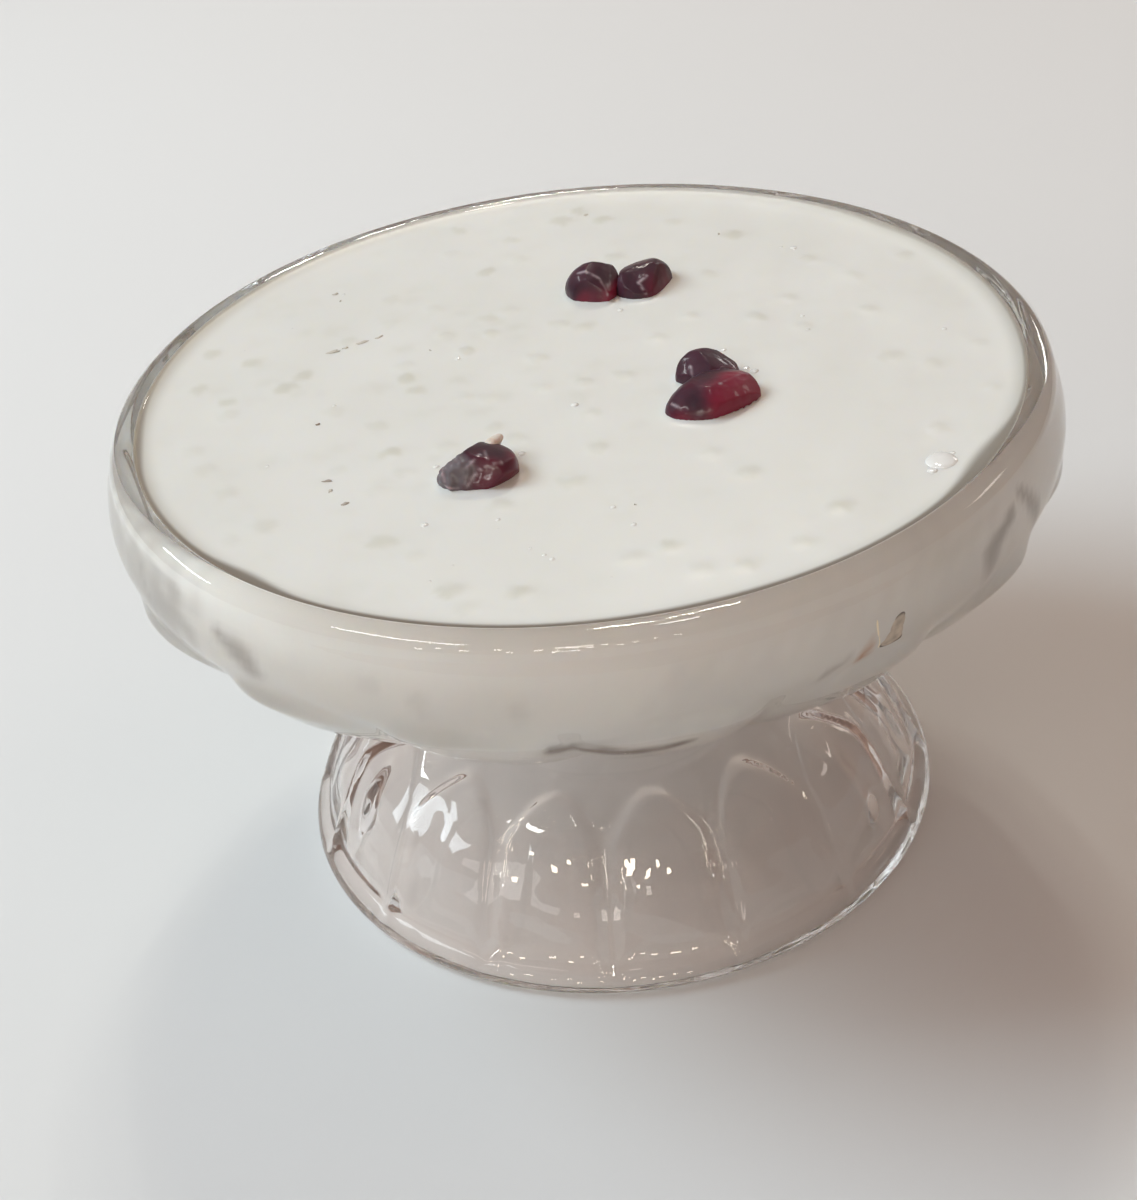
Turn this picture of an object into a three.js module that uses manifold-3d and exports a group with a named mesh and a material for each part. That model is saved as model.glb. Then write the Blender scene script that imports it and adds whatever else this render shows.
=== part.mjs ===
// Tapioca pudding in a footed bowl of clear pressed glass, topped with five pomegranate arils.
// Millimetres, +Z up, origin on the table under the middle of the foot.
// Azimuth 0 is the near side (-Y) and grows towards +X.
import * as THREE from 'three';
import { mergeVertices } from 'three/addons/utils/BufferGeometryUtils.js';
import Module from 'manifold-3d';

const wasm = await Module();
wasm.setup();

// Glass bowl: main sizes
const bowlHeight = 64;
const rimRadius = 56.6;
const lipThickness = 4;
const footRadius = 42;
const footEdgeHeight = 2;
const footRingOuter = 40.6;
const footRingInner = 38;

// Pressed pattern: petals stand out on the bowl, and panels are pressed into the foot below them
const petalCount = 16;
const firstValley = THREE.MathUtils.degToRad(-5);
const petalRelief = 1.9;
const petalFoot = [28.5, 40];
const petalTop = 54.8;
const petalArch = 3;
const petalFade = 4;
const panelRelief = 0.9;
const panelFoot = [2, 5];
const panelTop = 23.5;
const panelArch = 5;
const panelFade = 3;

// Pudding
const gap = 0.3;
const puddingLevel = 63;
const meniscusRise = 0.4;
const meniscusWidth = 3;
const meniscusBend = { across: 1 / 3, up: 1 / 4 };
const pearlCount = 84;
const pearlRadius = 1.5;
const pearlSizes = [0.85, 1.15];
const pearlShow = 0.3;
const pearlField = 50;
const pearlSeed = 4127;
const crowdedSpot = [-16, 4];
const crowdedReach = 24.5;
const sparseShare = 0.35;

// Mesh fineness
const facetsPerPetal = 6;
const outerSteps = 28;
const innerSteps = 8;
const hollowSteps = 5;
const lipSteps = 6;
const arilSides = 14;
const arilRings = 9;
const stalkSides = 8;
const stalkRings = 6;
const pearlSides = 6;
const pearlRings = 4;

// Walls of the glass as [radius, height], each joined by a smooth curve
const outerWall = [
  [footRingOuter, 0], [footRadius - 0.4, 0.6], [footRadius, footEdgeHeight], [40.4, 6], [38.7, 10], [36.8, 14],
  [33.9, 18], [29.2, 21.6], [23.4, 24.6], [20, 27.4], [23.2, 29.2], [30.4, 31.2], [36.6, 34.2], [41.8, 38], [46.4, 42],
  [51, 46], [54.5, 50], [57, 53.4], [57.8, 56.6], [57.4, 59.6], [rimRadius, bowlHeight - lipThickness / 2],
];
const innerWall = [
  [rimRadius - lipThickness, bowlHeight - lipThickness / 2], [53.3, 59.2], [53.5, 56], [52.6, 52.6], [50.4, 49],
  [46.8, 45.2], [42.2, 41.2], [36.8, 37.4], [29.5, 34.2], [20, 32.2], [9, 31.4], [0, 31.2],
];
const footHollow = [[0, 19.5], [12, 19.1], [22, 17.4], [29, 14.4], [33.4, 10.2], [36, 5.4], [37.5, 1.4], [footRingInner, 0]];

// Arils: middle in plan, length, width, thickness, height of the middle above the pudding,
// turn about +Z, tip of the long axis upwards, roll about it, and how much one end narrows
const arils = [
  { name: 'aril_1', at: [3.5, 22.3], size: [7.2, 7.1, 6.3], lift: 0.5, turn: 169, tip: 4, roll: 8, narrow: 0.2, seed: 11 },
  { name: 'aril_2', at: [10.2, 22.3], size: [8.9, 6.1, 5.4], lift: 0.5, turn: 50, tip: 2, roll: 6, narrow: 0.14, seed: 23 },
  { name: 'aril_3', at: [15.6, -4.7], size: [7.7, 5.9, 5.2], lift: 0.5, turn: -18, tip: 2, roll: 4, narrow: 0.14, seed: 37 },
  { name: 'aril_4', at: [15.4, -10.9], size: [11.8, 7.1, 6.2], lift: 0.55, turn: 22, tip: 1, roll: 0, narrow: -0.19, seed: 41 },
  { name: 'aril_5', at: [-12, -21.6], size: [9.2, 6.5, 5.6], lift: 0.65, turn: 196, tip: 1, roll: 21, narrow: 0.18, seed: 59 },
];

// Soft flats on an aril: how far out each starts, how hard it is pressed, and how far it strays
const facetCount = 7;
const facetDepth = 0.72;
const facetPress = 0.8;
const facetStray = 0.6;
const facetLean = 1.2;
const widthKept = 0.86;

// Pale stalk on the lone aril
const stalk = { at: [-10.2, -18.4], lift: 2.3, size: [4.2, 1.7, 1.2], turn: 62, tip: -4 };

// Repeatable draws between 0 and 1
function draws(seed) {
  let state = seed;
  return () => {
    state = (state * 16807) % 2147483647;
    return state / 2147483647;
  };
}

function smoothCurve(points, steps) {
  const curve = new THREE.SplineCurve(points.map(([radius, height]) => new THREE.Vector2(radius, height)));
  return curve.getSpacedPoints(steps);
}

// Closed, merged solid of a three.js geometry
function toSolid(geometry) {
  const bare = geometry.clone();
  bare.deleteAttribute('normal');
  bare.deleteAttribute('uv');
  const merged = mergeVertices(bare, 1e-4);
  return new wasm.Manifold(new wasm.Mesh({
    numProp: 3,
    vertProperties: new Float32Array(merged.attributes.position.array),
    triVerts: new Uint32Array(merged.index.array),
  }));
}

function toGeometry(solid) {
  const mesh = solid.getMesh();
  const geometry = new THREE.BufferGeometry();
  geometry.setAttribute('position', new THREE.BufferAttribute(mesh.vertProperties, 3));
  geometry.setIndex(new THREE.BufferAttribute(mesh.triVerts, 1));
  return geometry;
}

// How far the pressed pattern moves the outer wall, out on the bowl and in on the foot
function relief(height, azimuth) {
  const turns = (azimuth - firstValley) * petalCount / (2 * Math.PI);
  const across = 2 * (turns - Math.floor(turns)) - 1;
  const crown = 1 - across ** 2;
  const petal = petalRelief * crown
    * THREE.MathUtils.smoothstep(height, ...petalFoot)
    * THREE.MathUtils.smoothstep(petalTop - petalArch * across ** 2 - height, 0, petalFade);
  const panel = panelRelief * crown
    * THREE.MathUtils.smoothstep(height, ...panelFoot)
    * THREE.MathUtils.smoothstep(panelTop - panelArch * across ** 2 - height, 0, panelFade);
  return petal - panel;
}

function glassBowl() {
  const outside = smoothCurve(outerWall, outerSteps);
  const lip = [];
  for (let step = 1; step < lipSteps; step++) {
    const angle = Math.PI * step / lipSteps;
    lip.push(new THREE.Vector2(
      rimRadius - lipThickness / 2 + Math.cos(angle) * lipThickness / 2,
      bowlHeight - lipThickness / 2 + Math.sin(angle) * lipThickness / 2,
    ));
  }
  const hollow = smoothCurve(footHollow, hollowSteps);
  const profile = [...hollow, ...outside, ...lip, ...smoothCurve(innerWall, innerSteps)];
  const geometry = new THREE.LatheGeometry(profile, petalCount * facetsPerPetal, firstValley);
  const position = geometry.attributes.position;
  const spot = new THREE.Vector3();
  for (let index = 0; index < position.count; index++) {
    const row = index % profile.length;
    if (row < hollow.length || row >= hollow.length + outside.length) continue;
    spot.fromBufferAttribute(position, index);
    const azimuth = Math.atan2(spot.x, spot.z);
    const radius = Math.hypot(spot.x, spot.z);
    const moved = (radius + relief(spot.y, azimuth)) / radius;
    position.setXYZ(index, spot.x * moved, spot.y, spot.z * moved);
  }
  return toSolid(geometry.rotateX(Math.PI / 2));
}

// One aril: a sphere stretched to size, narrowed at one end, with its sides pressed into soft facets
function arilSolid({ at, size, lift, turn, tip, roll, narrow, seed }, grow = 0) {
  const draw = draws(seed);
  const facets = [];
  for (let number = 0; number < facetCount; number++) {
    const around = 2 * Math.PI * (number + facetStray * draw()) / facetCount;
    const along = facetLean * (draw() - 0.5);
    const facet = new THREE.Vector3(along, Math.cos(around), Math.sin(around));
    facets.push(facet.normalize());
  }
  const geometry = new THREE.SphereGeometry(1, arilSides, arilRings).rotateZ(Math.PI / 2);
  const position = geometry.attributes.position;
  const spot = new THREE.Vector3();
  for (let index = 0; index < position.count; index++) {
    spot.fromBufferAttribute(position, index);
    for (const facet of facets) {
      spot.addScaledVector(facet, -facetPress * Math.max(0, spot.dot(facet) - facetDepth));
    }
    const slim = 1 - narrow * spot.x;
    spot.set(
      spot.x * (size[0] / 2 + grow),
      spot.y * slim * (size[1] / 2 + grow) / widthKept,
      spot.z * slim * (size[2] / 2 + grow) / widthKept,
    );
    position.setXYZ(index, spot.x, spot.y, spot.z);
  }
  place(geometry, at, puddingLevel + lift, turn, tip, roll);
  return toSolid(geometry);
}

function place(geometry, at, height, turn, tip, roll = 0) {
  geometry.rotateX(THREE.MathUtils.degToRad(roll));
  geometry.rotateY(THREE.MathUtils.degToRad(-tip));
  geometry.rotateZ(THREE.MathUtils.degToRad(turn));
  geometry.translate(at[0], at[1], height);
}

function stalkSolid(grow = 0) {
  const geometry = new THREE.SphereGeometry(1, stalkSides, stalkRings).rotateZ(Math.PI / 2);
  geometry.scale(stalk.size[0] / 2 + grow, stalk.size[1] / 2 + grow, stalk.size[2] / 2 + grow);
  place(geometry, stalk.at, puddingLevel + stalk.lift, stalk.turn, stalk.tip);
  return toSolid(geometry);
}

// Pearls near the surface: seeded places, kept apart, closer together left of the middle
function pearlPlaces() {
  const draw = draws(pearlSeed);
  const places = [];
  while (places.length < pearlCount) {
    const x = pearlField * (2 * draw() - 1);
    const y = pearlField * (2 * draw() - 1);
    const away = Math.hypot(x - crowdedSpot[0], y - crowdedSpot[1]) / crowdedReach;
    const wanted = sparseShare + (1 - sparseShare) * Math.exp(-(away ** 2));
    const radius = pearlRadius * THREE.MathUtils.lerp(...pearlSizes, draw());
    const kept = draw() < wanted;
    const inside = Math.hypot(x, y) < pearlField;
    const apart = places.every((other) => Math.hypot(other.x - x, other.y - y) > 2 * pearlRadius);
    const clear = arils.every(({ at, size }) => Math.hypot(at[0] - x, at[1] - y) > size[0] / 2 + pearlRadius);
    if (kept && inside && apart && clear) places.push({ x, y, radius });
  }
  return places;
}

function puddingBody() {
  const wall = smoothCurve(innerWall, innerSteps).reverse();
  const profile = wall.map((point, index) => {
    const before = wall[Math.max(index - 1, 0)];
    const after = wall[Math.min(index + 1, wall.length - 1)];
    const along = after.clone().sub(before).normalize();
    return new THREE.Vector2(Math.max(point.x - along.y * gap, 0), point.y + along.x * gap);
  });
  profile[0].x = 0;
  const half = lipThickness / 2;
  const edgeLift = puddingLevel + meniscusRise - (bowlHeight - half);
  const edge = rimRadius - half - Math.sqrt(half ** 2 - edgeLift ** 2) - gap;
  profile.push(new THREE.Vector2(edge, puddingLevel + meniscusRise));
  profile.push(new THREE.Vector2(edge - meniscusWidth * meniscusBend.across, puddingLevel + meniscusRise * meniscusBend.up));
  profile.push(new THREE.Vector2(edge - meniscusWidth, puddingLevel));
  profile.push(new THREE.Vector2(0, puddingLevel));
  const geometry = new THREE.LatheGeometry(profile, petalCount * facetsPerPetal / 2);
  return toSolid(geometry.rotateX(Math.PI / 2));
}

function pudding(toppings) {
  let solid = puddingBody();
  for (const { x, y, radius } of pearlPlaces()) {
    const pearl = new THREE.SphereGeometry(radius, pearlSides, pearlRings).rotateX(Math.PI / 2);
    pearl.translate(x, y, puddingLevel + pearlShow - radius);
    solid = solid.add(toSolid(pearl));
  }
  for (const topping of toppings) solid = solid.subtract(topping);
  return solid;
}

function piece(name, solid, { color, roughness, metalness = 0, ...looks }) {
  const material = new THREE.MeshStandardMaterial({ color, roughness, metalness, ...looks });
  const mesh = new THREE.Mesh(toGeometry(solid), material);
  mesh.name = name;
  return mesh;
}

const clearGlass = { color: '#d9dcd8', roughness: 0.05, transparent: true, opacity: 0.35 };
const milk = { color: '#e2e1d8', roughness: 0.35 };
const juice = { color: '#571b28', roughness: 0.15 };

const grown = arils.map((aril) => arilSolid(aril, gap));
const object = new THREE.Group();
object.add(piece('glass_bowl', glassBowl(), clearGlass));
object.add(piece('pudding', pudding([...grown, stalkSolid(gap)]), milk));
arils.forEach((aril, number) => {
  let solid = arilSolid(aril);
  for (const earlier of grown.slice(0, number)) solid = solid.subtract(earlier);
  if (aril.name === 'aril_5') solid = solid.add(stalkSolid());
  object.add(piece(aril.name, solid, juice));
});

export default object;
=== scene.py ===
import math

import bpy
import numpy as np
from mathutils import Matrix, Vector
from mathutils.bvhtree import BVHTree


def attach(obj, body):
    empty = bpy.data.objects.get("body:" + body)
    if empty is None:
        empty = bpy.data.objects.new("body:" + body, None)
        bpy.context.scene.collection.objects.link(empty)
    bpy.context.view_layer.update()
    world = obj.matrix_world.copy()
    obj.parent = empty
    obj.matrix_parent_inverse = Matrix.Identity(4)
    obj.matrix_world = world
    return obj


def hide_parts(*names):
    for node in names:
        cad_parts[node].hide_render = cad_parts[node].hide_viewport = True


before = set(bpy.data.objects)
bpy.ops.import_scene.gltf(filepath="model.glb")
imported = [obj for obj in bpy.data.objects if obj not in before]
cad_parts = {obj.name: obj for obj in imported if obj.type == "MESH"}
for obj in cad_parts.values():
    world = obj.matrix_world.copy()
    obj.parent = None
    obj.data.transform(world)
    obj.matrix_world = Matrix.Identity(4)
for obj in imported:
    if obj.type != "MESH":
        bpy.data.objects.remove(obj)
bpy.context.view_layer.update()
mm = 0.001
scene = bpy.context.scene


# Helpers for shapes. Sizes are in mm until a mesh is made, and azimuth 0 is the near side.

def smoothStep(value, low, high):
    share = np.clip((np.asarray(value, float) - low) / (high - low), 0, 1)
    return share * share * (3 - 2 * share)


def smoothLine(points, steps):
    # Catmull-Rom curve through the points, cut into equal lengths
    spots = np.array(points, float)
    last = len(spots) - 1
    share = np.linspace(0, 1, 40, endpoint=False)[:, None]
    dense = []
    for index in range(last):
        before, start = spots[max(index - 1, 0)], spots[index]
        end, after = spots[index + 1], spots[min(index + 2, last)]
        bend = (2 * before - 5 * start + 4 * end - after) * share ** 2
        twist = (3 * start - before - 3 * end + after) * share ** 3
        dense.append(0.5 * (2 * start + (end - before) * share + bend + twist))
    dense = np.vstack(dense + [spots[-1:]])
    lengths = np.concatenate([[0], np.cumsum(np.linalg.norm(np.diff(dense, axis=0), axis=1))])
    wanted = np.linspace(0, lengths[-1], steps + 1)
    return np.stack([np.interp(wanted, lengths, dense[:, axis]) for axis in (0, 1)], 1)


def draws(seed):
    # The same repeatable draws that place the pearls and the arils' flats in the solids
    state = seed
    while True:
        state = state * 16807 % 2147483647
        yield state / 2147483647


def waveSum(points, seed, scale, count=9):
    # Soft uneven waves in three dimensions, between about -1 and 1
    draw = draws(seed)
    total = np.zeros(len(points))
    for number in range(count):
        direction = np.array([next(draw) - 0.5, next(draw) - 0.5, next(draw) - 0.5])
        direction /= np.linalg.norm(direction)
        length = scale * (0.6 + 0.8 * next(draw))
        total += np.sin(points @ direction * 2 * math.pi / length + 6.28 * next(draw))
    return total / math.sqrt(count)


def makePiece(name, points, faces, smooth=True):
    mesh = bpy.data.meshes.new(name)
    mesh.from_pydata((np.asarray(points) * mm).tolist(), [], faces)
    mesh.update()
    if smooth:
        mesh.shade_smooth()
    piece = bpy.data.objects.new(name, mesh)
    scene.collection.objects.link(piece)
    return piece


def addMask(piece, name, values):
    layer = piece.data.attributes.new(name, "FLOAT", "POINT")
    layer.data.foreach_set("value", np.asarray(values, np.float32))


def roundFaces(rows, sides):
    # Faces of a turned shape whose first and last rows are single points on the axis
    faces = []
    first, lastPoint = 0, 1 + (rows - 2) * sides
    def spot(row, side):
        return 1 + (row - 1) * sides + side % sides
    for side in range(sides):
        faces.append((first, spot(1, side + 1), spot(1, side)))
        faces.append((spot(rows - 2, side), spot(rows - 2, side + 1), lastPoint))
    for row in range(1, rows - 2):
        for side in range(sides):
            faces.append((spot(row, side), spot(row, side + 1), spot(row + 1, side + 1), spot(row + 1, side)))
    return faces


def roundPoints(profile, sides, start=0.0, moved=None):
    # Turned points; moved gives how far each point of the wall shifts outwards
    azimuth = start + np.arange(sides) * 2 * math.pi / sides
    radius = np.repeat(profile[1:-1, 0:1], sides, axis=1)
    height = np.repeat(profile[1:-1, 1:2], sides, axis=1)
    if moved is not None:
        radius = radius + moved(azimuth)
    ring = np.stack([radius * np.sin(azimuth), -radius * np.cos(azimuth), height], 2).reshape(-1, 3)
    return np.vstack([[0, 0, profile[0, 1]], ring, [0, 0, profile[-1, 1]]])


# Helpers for materials

def newMaterial(name):
    material = bpy.data.materials.new(name)
    material.use_nodes = True
    return material, material.node_tree, material.node_tree.nodes["Principled BSDF"]


def addNode(tree, kind, settings=None, **values):
    node = tree.nodes.new(kind)
    for key, value in (settings or {}).items():
        setattr(node, key, value)
    for key, value in values.items():
        node.inputs[key.replace("_", " ")].default_value = value
    return node


def newGroup(name, inputs, output):
    group = bpy.data.node_groups.new(name, "ShaderNodeTree")
    for label, kind, value in inputs:
        socket = group.interface.new_socket(name=label, in_out="INPUT", socket_type=kind)
        socket.default_value = value
    group.interface.new_socket(name=output[0], in_out="OUTPUT", socket_type=output[1])
    return group, group.nodes.new("NodeGroupInput"), group.nodes.new("NodeGroupOutput")


def unevenTone():
    # One colour drifting softly into another
    group, given, result = newGroup("unevenTone", (
        ("Tone", "NodeSocketColor", (0.8, 0.8, 0.8, 1)),
        ("Other Tone", "NodeSocketColor", (0.7, 0.7, 0.7, 1)),
        ("Scale", "NodeSocketFloat", 60.0),
        ("Detail", "NodeSocketFloat", 3.0),
    ), ("Color", "NodeSocketColor"))
    place = group.nodes.new("ShaderNodeTexCoord")
    noise = group.nodes.new("ShaderNodeTexNoise")
    ramp = addNode(group, "ShaderNodeMapRange", From_Min=0.35, From_Max=0.65)
    mix = addNode(group, "ShaderNodeMix", {"data_type": "RGBA"})
    group.links.new(place.outputs["Object"], noise.inputs["Vector"])
    group.links.new(given.outputs["Scale"], noise.inputs["Scale"])
    group.links.new(given.outputs["Detail"], noise.inputs["Detail"])
    group.links.new(noise.outputs["Fac"], ramp.inputs["Value"])
    group.links.new(ramp.outputs["Result"], mix.inputs[0])
    group.links.new(given.outputs["Tone"], mix.inputs[6])
    group.links.new(given.outputs["Other Tone"], mix.inputs[7])
    group.links.new(mix.outputs[2], result.inputs["Color"])
    return group


def softRipple():
    # Height of low waves with finer ones on them
    group, given, result = newGroup("softRipple", (
        ("Scale", "NodeSocketFloat", 80.0),
        ("Fine Scale", "NodeSocketFloat", 500.0),
        ("Fine Share", "NodeSocketFloat", 0.2),
    ), ("Height", "NodeSocketFloat"))
    place = group.nodes.new("ShaderNodeTexCoord")
    coarse = addNode(group, "ShaderNodeTexNoise", Detail=1.0)
    fine = addNode(group, "ShaderNodeTexNoise", Detail=2.0)
    total = addNode(group, "ShaderNodeMath", {"operation": "MULTIPLY_ADD"})
    for noise, scale in ((coarse, "Scale"), (fine, "Fine Scale")):
        group.links.new(place.outputs["Object"], noise.inputs["Vector"])
        group.links.new(given.outputs[scale], noise.inputs["Scale"])
    group.links.new(fine.outputs["Fac"], total.inputs[0])
    group.links.new(given.outputs["Fine Share"], total.inputs[1])
    group.links.new(coarse.outputs["Fac"], total.inputs[2])
    group.links.new(total.outputs[0], result.inputs["Height"])
    return group


toneGroup = unevenTone()
rippleGroup = softRipple()


def addGroup(tree, group, **values):
    node = tree.nodes.new("ShaderNodeGroup")
    node.node_tree = group
    for key, value in values.items():
        node.inputs[key.replace("_", " ")].default_value = value
    return node


def addBump(tree, principled, height, strength, distance):
    bump = addNode(tree, "ShaderNodeBump", Strength=strength, Distance=distance * mm)
    tree.links.new(height, bump.inputs["Height"])
    tree.links.new(bump.outputs["Normal"], principled.inputs["Normal"])
    return bump


def addLayer(tree, color, mask, tone, strength):
    # Lays a tone over the colour where the mask says
    source = addNode(tree, "ShaderNodeAttribute", {"attribute_name": mask})
    share = addNode(tree, "ShaderNodeMath", {"operation": "MULTIPLY"})
    share.inputs[1].default_value = strength
    mix = addNode(tree, "ShaderNodeMix", {"data_type": "RGBA"})
    mix.inputs[7].default_value = tone
    tree.links.new(source.outputs["Fac"], share.inputs[0])
    tree.links.new(share.outputs[0], mix.inputs[0])
    tree.links.new(color, mix.inputs[6])
    return mix.outputs[2]


# Camera, where the photo was taken from
cameraView = {
    "lens": 60,
    "aim": (0, 0, 40),
    "distance": 254.8,
    "elevation": 32.35,
    "yaw": -0.93,
    "pitch": -1.77,
    "roll": -6.52,
}


def turned(first, second, degrees):
    # The two directions turned towards each other
    cos, sin = math.cos(math.radians(degrees)), math.sin(math.radians(degrees))
    return first * cos + second * sin, second * cos - first * sin


def makeCamera():
    data = bpy.data.cameras.new("camera")
    data.lens = cameraView["lens"]
    camera = bpy.data.objects.new("camera", data)
    scene.collection.objects.link(camera)
    lift = math.radians(cameraView["elevation"])
    back = Vector((0, -math.cos(lift), math.sin(lift)))
    right = Vector((1, 0, 0))
    place = (Vector(cameraView["aim"]) + back * cameraView["distance"]) * mm
    up = back.cross(right)
    right, back = turned(right, back, cameraView["yaw"])
    up, back = turned(up, back, cameraView["pitch"])
    right, up = turned(right, up, cameraView["roll"])
    turn = Matrix((right, up, back)).transposed()
    camera.matrix_world = Matrix.Translation(place) @ turn.to_4x4()
    data.clip_start = 0.005
    scene.camera = camera


makeCamera()


# Glass bowl
bowl = {
    "height": 64, "rimRadius": 56.6, "lipThickness": 4,
    "petals": 16, "firstValley": -5,
    "petalRelief": 1.9, "petalFoot": (28.5, 40), "petalTop": 54.8, "petalArch": 3, "petalFade": 4, "petalCurve": 2.4,
    "panelRelief": 1.0, "panelFoot": (2, 5), "panelTop": 22.4, "panelArch": 5, "panelFade": 2.1, "ridgeWidth": 0.13,
    "waves": 0.10, "waveLength": 11,
    "outerWall": (
        (40.6, 0), (41.6, 0.6), (42, 2), (40.4, 6), (38.7, 10), (36.8, 14), (33.9, 18), (29.2, 21.6),
        (23.4, 24.6), (20, 27.4), (23.2, 29.2), (30.4, 31.2), (36.6, 34.2), (41.8, 38), (46.4, 42),
        (51, 46), (54.5, 50), (57, 53.4), (57.8, 56.6), (57.4, 59.6), (56.6, 62),
    ),
    "innerWall": (
        (52.6, 62), (53.3, 59.2), (53.5, 56), (52.6, 52.6), (50.4, 49), (46.8, 45.2), (42.2, 41.2),
        (36.8, 37.4), (29.5, 34.2), (20, 32.2), (9, 31.4), (0, 31.2),
    ),
    "footHollow": ((0, 19.5), (12, 19.1), (22, 17.4), (29, 14.4), (33.4, 10.2), (36, 5.4), (37.5, 1.4), (38, 0)),
    "hollowRelief": 0.8, "hollowBand": (2, 6, 12, 16), "hollowWaves": 0.18,
    "facetsPerPetal": 24, "outerSteps": 150, "innerSteps": 36, "hollowSteps": 34, "lipSteps": 18,
}


def patternShift(heights, azimuth):
    # How far petals stand out on the bowl and panels sink into the foot
    turns = (azimuth - math.radians(bowl["firstValley"])) * bowl["petals"] / (2 * math.pi)
    across = 2 * (turns - np.floor(turns + 1e-9)) - 1
    crown = 1 - np.abs(across) ** bowl["petalCurve"]
    dished = 1 - np.exp(-((1 - np.abs(across)) / bowl["ridgeWidth"]) ** 2)
    height = heights[:, None]
    petalEnd = bowl["petalTop"] - bowl["petalArch"] * across ** 2 - height
    panelEnd = bowl["panelTop"] - bowl["panelArch"] * across ** 2 - height
    petal = smoothStep(height, *bowl["petalFoot"]) * smoothStep(petalEnd, 0, bowl["petalFade"])
    panel = smoothStep(height, *bowl["panelFoot"]) * smoothStep(panelEnd, 0, bowl["panelFade"])
    return bowl["petalRelief"] * petal * crown - bowl["panelRelief"] * panel * dished


def makeBowl():
    outside = smoothLine(bowl["outerWall"], bowl["outerSteps"])
    inside = smoothLine(bowl["innerWall"], bowl["innerSteps"])
    hollow = smoothLine(bowl["footHollow"], bowl["hollowSteps"])
    half = bowl["lipThickness"] / 2
    angle = np.linspace(0, math.pi, bowl["lipSteps"] + 1)[1:-1]
    lip = np.stack([bowl["rimRadius"] - half + half * np.cos(angle), bowl["height"] - half + half * np.sin(angle)], 1)
    profile = np.vstack([hollow, outside, lip, inside])
    shaped = np.zeros(len(profile))
    shaped[len(hollow):len(hollow) + len(outside)] = 1

    heights = profile[1:-1, 1]
    start, full, ebb, end = bowl["hollowBand"]
    hollowBand = smoothStep(heights, start, full) * (1 - smoothStep(heights, ebb, end))
    hollowBand *= np.arange(len(heights)) < len(hollow) - 1

    def moved(azimuth):
        turns = (azimuth - math.radians(bowl["firstValley"])) * bowl["petals"]
        ribs = bowl["hollowRelief"] * np.abs(np.cos(turns / 2)) ** 3
        ribs = ribs + bowl["hollowWaves"] * np.sin(0.9 * heights[:, None] + 1.3 * np.sin(5 * azimuth))
        return patternShift(heights, azimuth) * shaped[1:-1, None] - hollowBand[:, None] * ribs

    sides = bowl["petals"] * bowl["facetsPerPetal"]
    points = roundPoints(profile, sides, math.radians(bowl["firstValley"]), moved)
    low = smoothStep(bowl["height"] - 8 - points[:, 2], 0, 12) * smoothStep(points[:, 2], 0.5, 4)
    radius = np.hypot(points[:, 0], points[:, 1])
    sway = bowl["waves"] * low * smoothStep(radius, 4, 12) * waveSum(points, 1201, bowl["waveLength"], 10)
    points[:, :2] *= (1 + sway / np.maximum(radius, 1))[:, None]
    piece = makePiece("pressedBowl", points, roundFaces(len(profile), sides))
    addMask(piece, "footGlass", 1 - smoothStep(points[:, 2], 18, 34))
    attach(piece, "root")
    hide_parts("glass_bowl")
    return piece


def glassFinish():
    look = {
        "tint": (0.968, 0.938, 0.935, 1), "paintedFootShade": (0.885, 0.842, 0.828, 1),
        "lampTint": (0.47, 0.435, 0.405, 1), "roughness": 0.0, "ior": 1.5,
    }
    material, tree, principled = newMaterial("pressedGlass")
    # Painted shade: the foot's glass is tinted darker and warmer than the bowl's, standing in for the shaded floor seen
    # through it
    foot = addNode(tree, "ShaderNodeAttribute", {"attribute_name": "footGlass"})
    tint = addNode(tree, "ShaderNodeMix", {"data_type": "RGBA"})
    tint.inputs[6].default_value = look["tint"]
    tint.inputs[7].default_value = look["paintedFootShade"]
    tree.links.new(foot.outputs["Fac"], tint.inputs[0])
    tree.links.new(tint.outputs[2], principled.inputs["Base Color"])
    principled.inputs["Roughness"].default_value = look["roughness"]
    principled.inputs["IOR"].default_value = look["ior"]
    principled.inputs["Transmission Weight"].default_value = 1.0
    ripple = addGroup(tree, rippleGroup, Scale=55.0, Fine_Scale=260.0, Fine_Share=0.12)
    addBump(tree, principled, ripple.outputs["Height"], 0.25, 0.8)
    # Lamps shine through to the pudding and the floor
    path = tree.nodes.new("ShaderNodeLightPath")
    clear = addNode(tree, "ShaderNodeBsdfTransparent", Color=look["lampTint"])
    mix = tree.nodes.new("ShaderNodeMixShader")
    tree.links.new(path.outputs["Is Shadow Ray"], mix.inputs[0])
    tree.links.new(principled.outputs[0], mix.inputs[1])
    tree.links.new(clear.outputs[0], mix.inputs[2])
    tree.links.new(mix.outputs[0], tree.nodes["Material Output"].inputs["Surface"])
    return material


bowlPiece = makeBowl()
bowlPiece.data.materials.append(glassFinish())
print("bowl made")
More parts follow.
